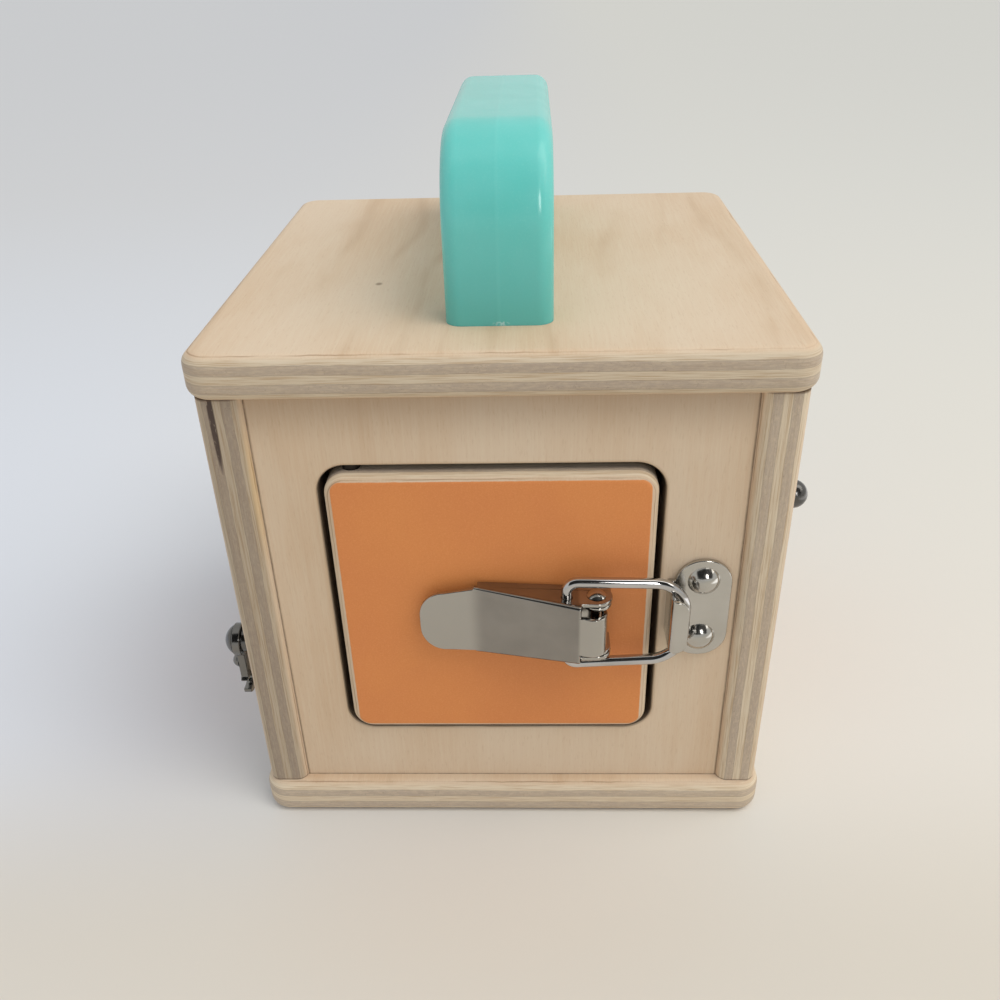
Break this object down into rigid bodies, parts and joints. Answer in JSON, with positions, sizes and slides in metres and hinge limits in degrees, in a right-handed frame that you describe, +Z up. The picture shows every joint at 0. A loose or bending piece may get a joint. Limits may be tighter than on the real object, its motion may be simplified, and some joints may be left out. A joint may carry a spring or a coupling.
{
  "type": "wooden lock box toy",
  "caption": "Plywood cube box with an arched carry handle and small painted doors on pin hinges, each held by a different lock: toggle latch, slide bolt, swing hook and turn button.",
  "frame": {"origin": "middle of the underside of the base panel", "axes": "+Z up, front with the toggle latch faces -Y, +X to the right seen from the front"},
  "size_m": [0.154, 0.1408, 0.1685],
  "materials": {
    "plywood": "satin",
    "painted_plywood": "matte",
    "handle_plastic": "satin",
    "steel": "satin",
    "nickel": "polished"
  },
  "bodies": {
    "box": {"base_panel": "plywood", "top_panel": "plywood", "left_panel": "plywood", "right_panel": "plywood", "front_panel": "plywood", "back_panel": "plywood", "panel_dowels": "plywood", "door_stops": "plywood", "handle": "handle_plastic", "handle_screws": "steel", "catch_plate": "nickel", "catch_rivets": "nickel", "bolt_keeper": "nickel", "keeper_rivets": "nickel", "hook_plate": "nickel", "hook_plate_rivets": "nickel", "hook_pivot_stud": "nickel", "button_spacer": "nickel", "button_rivet": "nickel"},
    "front_door": {"front_door": "painted_plywood", "front_hinge_pins": "steel", "latch_base": "nickel", "latch_base_rivets": "nickel", "latch_pivot_pin": "nickel"},
    "lever": {"latch_lever": "nickel"},
    "bail": {"latch_bail": "nickel"},
    "right_door": {"right_door": "painted_plywood", "right_hinge_pins": "steel", "bolt_base": "nickel", "bolt_base_rivets": "nickel"},
    "bolt": {"slide_bolt": "nickel", "bolt_knob": "nickel"},
    "left_door": {"left_door": "painted_plywood", "left_hinge_pins": "steel", "door_stud": "nickel"},
    "hook": {"swing_hook": "nickel"},
    "back_door": {"back_door": "painted_plywood", "back_hinge_pins": "steel"},
    "button": {"turn_button": "nickel"}
  },
  "joints": [
    {"name": "front_door_hinge", "type": "hinge", "parent": "box", "child": "front_door", "pos_m": [-0.033, -0.058, 0.065], "axis": [0, 0, -1], "range_deg": [0, 105]},
    {"name": "lever_pivot", "type": "hinge", "parent": "front_door", "child": "lever", "pos_m": [0.0207, -0.0673, 0.065], "axis": [0, 0, 1], "range_deg": [0, 125]},
    {"name": "bail_pivot", "type": "hinge", "parent": "lever", "child": "bail", "pos_m": [0.014, -0.0683, 0.065], "axis": [0, 0, 1], "range_deg": [-112, 0]},
    {"name": "right_door_hinge", "type": "hinge", "parent": "box", "child": "right_door", "pos_m": [0.0605, -0.023, 0.065], "axis": [0, 0, -1], "range_deg": [0, 105]},
    {"name": "bolt_slide", "type": "slide", "parent": "right_door", "child": "bolt", "axis": [0, 1, 0], "range_m": [0, 0.0125]},
    {"name": "left_door_hinge", "type": "hinge", "parent": "box", "child": "left_door", "pos_m": [-0.0605, 0.023, 0.065], "axis": [0, 0, -1], "range_deg": [0, 105]},
    {"name": "hook_swing", "type": "hinge", "parent": "box", "child": "hook", "pos_m": [-0.0635, -0.052, 0.0485], "axis": [-1, 0, 0], "range_deg": [0, 270]},
    {"name": "back_door_hinge", "type": "hinge", "parent": "box", "child": "back_door", "pos_m": [0.033, 0.058, 0.065], "axis": [0, 0, -1], "range_deg": [0, 105]},
    {"name": "button_turn", "type": "hinge", "parent": "box", "child": "button", "pos_m": [-0.0435, 0.061, 0.065], "axis": [0, 1, 0], "continuous": true}
  ],
  "couplings": [
    {"joint": "bail_pivot", "follows": "lever_pivot", "ratio": -0.89}
  ]
}
